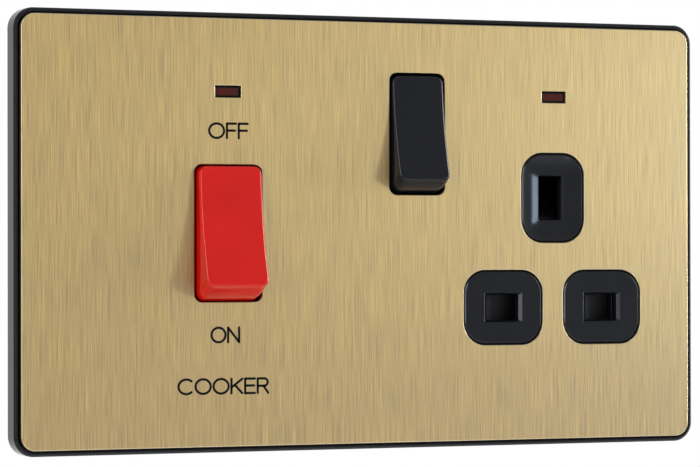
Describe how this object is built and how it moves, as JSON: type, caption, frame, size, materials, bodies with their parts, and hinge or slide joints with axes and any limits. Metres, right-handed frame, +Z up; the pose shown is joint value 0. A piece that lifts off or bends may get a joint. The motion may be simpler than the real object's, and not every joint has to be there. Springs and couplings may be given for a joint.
{
  "type": "cooker control unit",
  "caption": "Wall-mounted cooker control unit: wide rocker switch for a cooker beside a switched, shuttered three-pin socket, with neon indicators under a thin metal front plate.",
  "frame": {"origin": "centre of the wall plane, midway between the two wall screws", "axes": "+X right seen from the room, +Y into the wall, +Z up; the front faces -Y"},
  "size_m": [0.146, 0.0379, 0.086],
  "materials": {
    "brushed_plate": "vertical brushed grain, lacquered",
    "black_moulding": "satin moulded",
    "housing_moulding": "fine moulded texture",
    "red_rocker": "gloss moulded",
    "black_rocker": "satin moulded",
    "shutter_moulding": "moulded",
    "indicator_lens": "tinted, glossy",
    "lamp_glass": "clear",
    "resistor_body": "lacquered",
    "spring_steel": "bright",
    "plated_screw": "zinc plated",
    "terminal_brass": "machined",
    "contact_strip": "stamped",
    "plunger_moulding": "moulded"
  },
  "bodies": {
    "unit": {"front_plate": "brushed_plate", "mounting_frame": "black_moulding", "rear_housing": "housing_moulding", "cooker_neon_lens": "indicator_lens", "socket_neon_lens": "indicator_lens", "cooker_neon_lamp": "lamp_glass", "socket_neon_lamp": "lamp_glass", "neon_resistors": "resistor_body", "shutter_spring": "spring_steel", "plate_clips": "spring_steel", "terminal_screws": "plated_screw", "assembly_screws": "plated_screw", "supply_line_terminal": "terminal_brass", "supply_neutral_terminal": "terminal_brass", "supply_earth_terminal": "terminal_brass", "load_line_terminal": "terminal_brass", "load_neutral_terminal": "terminal_brass", "load_earth_terminal": "terminal_brass", "supply_line_bracket": "contact_strip", "supply_neutral_bracket": "contact_strip", "load_line_contact": "contact_strip", "load_neutral_contact": "contact_strip", "line_busbar": "contact_strip", "neutral_busbar": "contact_strip", "socket_line_contact": "contact_strip", "socket_neutral_contact": "contact_strip", "socket_earth_contact": "contact_strip", "earth_strap": "contact_strip"},
    "cooker_rocker": {"cooker_rocker": "red_rocker", "cooker_line_plunger_spring": "spring_steel", "cooker_neutral_plunger_spring": "spring_steel"},
    "cooker_line_plunger": {"cooker_line_plunger": "plunger_moulding"},
    "cooker_neutral_plunger": {"cooker_neutral_plunger": "plunger_moulding"},
    "socket_rocker": {"socket_rocker": "black_rocker", "socket_plunger_spring": "spring_steel"},
    "socket_plunger": {"socket_plunger": "plunger_moulding"},
    "cooker_line_rocking_contact": {"cooker_line_rocking_contact": "contact_strip"},
    "cooker_neutral_rocking_contact": {"cooker_neutral_rocking_contact": "contact_strip"},
    "socket_rocking_contact": {"socket_rocking_contact": "contact_strip"},
    "shutter": {"shutter": "shutter_moulding"}
  },
  "joints": [
    {"name": "cooker_rocker_turn", "type": "hinge", "parent": "unit", "child": "cooker_rocker", "pos_m": [-0.02966, -0.00135, -0.0002], "axis": [1, 0, 0], "range_deg": [0, 21.5]},
    {"name": "cooker_line_plunger_slide", "type": "slide", "parent": "cooker_rocker", "child": "cooker_line_plunger", "axis": [0, 0.9825, -0.1865], "range_m": [-0.0006, 0], "stiffness_N_per_m": 400, "springref_m": 0.003, "deforming": ["cooker_line_plunger_spring"]},
    {"name": "cooker_neutral_plunger_slide", "type": "slide", "parent": "cooker_rocker", "child": "cooker_neutral_plunger", "axis": [0, 0.9825, -0.1865], "range_m": [-0.0006, 0], "stiffness_N_per_m": 400, "springref_m": 0.003, "deforming": ["cooker_neutral_plunger_spring"]},
    {"name": "socket_rocker_turn", "type": "hinge", "parent": "unit", "child": "socket_rocker", "pos_m": [0.01066, -0.00135, 0.01973], "axis": [1, 0, 0], "range_deg": [0, 21.2]},
    {"name": "socket_plunger_slide", "type": "slide", "parent": "socket_rocker", "child": "socket_plunger", "axis": [0, 0.9829, -0.184], "range_m": [-0.0006, 0], "stiffness_N_per_m": 400, "springref_m": 0.003, "deforming": ["socket_plunger_spring"]},
    {"name": "cooker_line_contact_rock", "type": "hinge", "parent": "unit", "child": "cooker_line_rocking_contact", "pos_m": [-0.03326, 0.00985, -0.0002], "axis": [1, 0, 0], "range_deg": [-16, 0]},
    {"name": "cooker_neutral_contact_rock", "type": "hinge", "parent": "unit", "child": "cooker_neutral_rocking_contact", "pos_m": [-0.02606, 0.00985, -0.0002], "axis": [1, 0, 0], "range_deg": [-16, 0]},
    {"name": "socket_contact_rock", "type": "hinge", "parent": "unit", "child": "socket_rocking_contact", "pos_m": [0.01066, 0.00985, 0.01973], "axis": [1, 0, 0], "range_deg": [-16, 0]},
    {"name": "shutter_slide", "type": "slide", "parent": "unit", "child": "shutter", "axis": [0, 0, -1], "range_m": [0, 0.0062], "stiffness_N_per_m": 150, "springref_m": -0.004, "deforming": ["shutter_spring"]}
  ],
  "couplings": [
    {"joint": "cooker_line_contact_rock", "follows": "cooker_rocker_turn", "ratio": -0.74419},
    {"joint": "cooker_neutral_contact_rock", "follows": "cooker_rocker_turn", "ratio": -0.74419},
    {"joint": "socket_contact_rock", "follows": "socket_rocker_turn", "ratio": -0.75472}
  ]
}
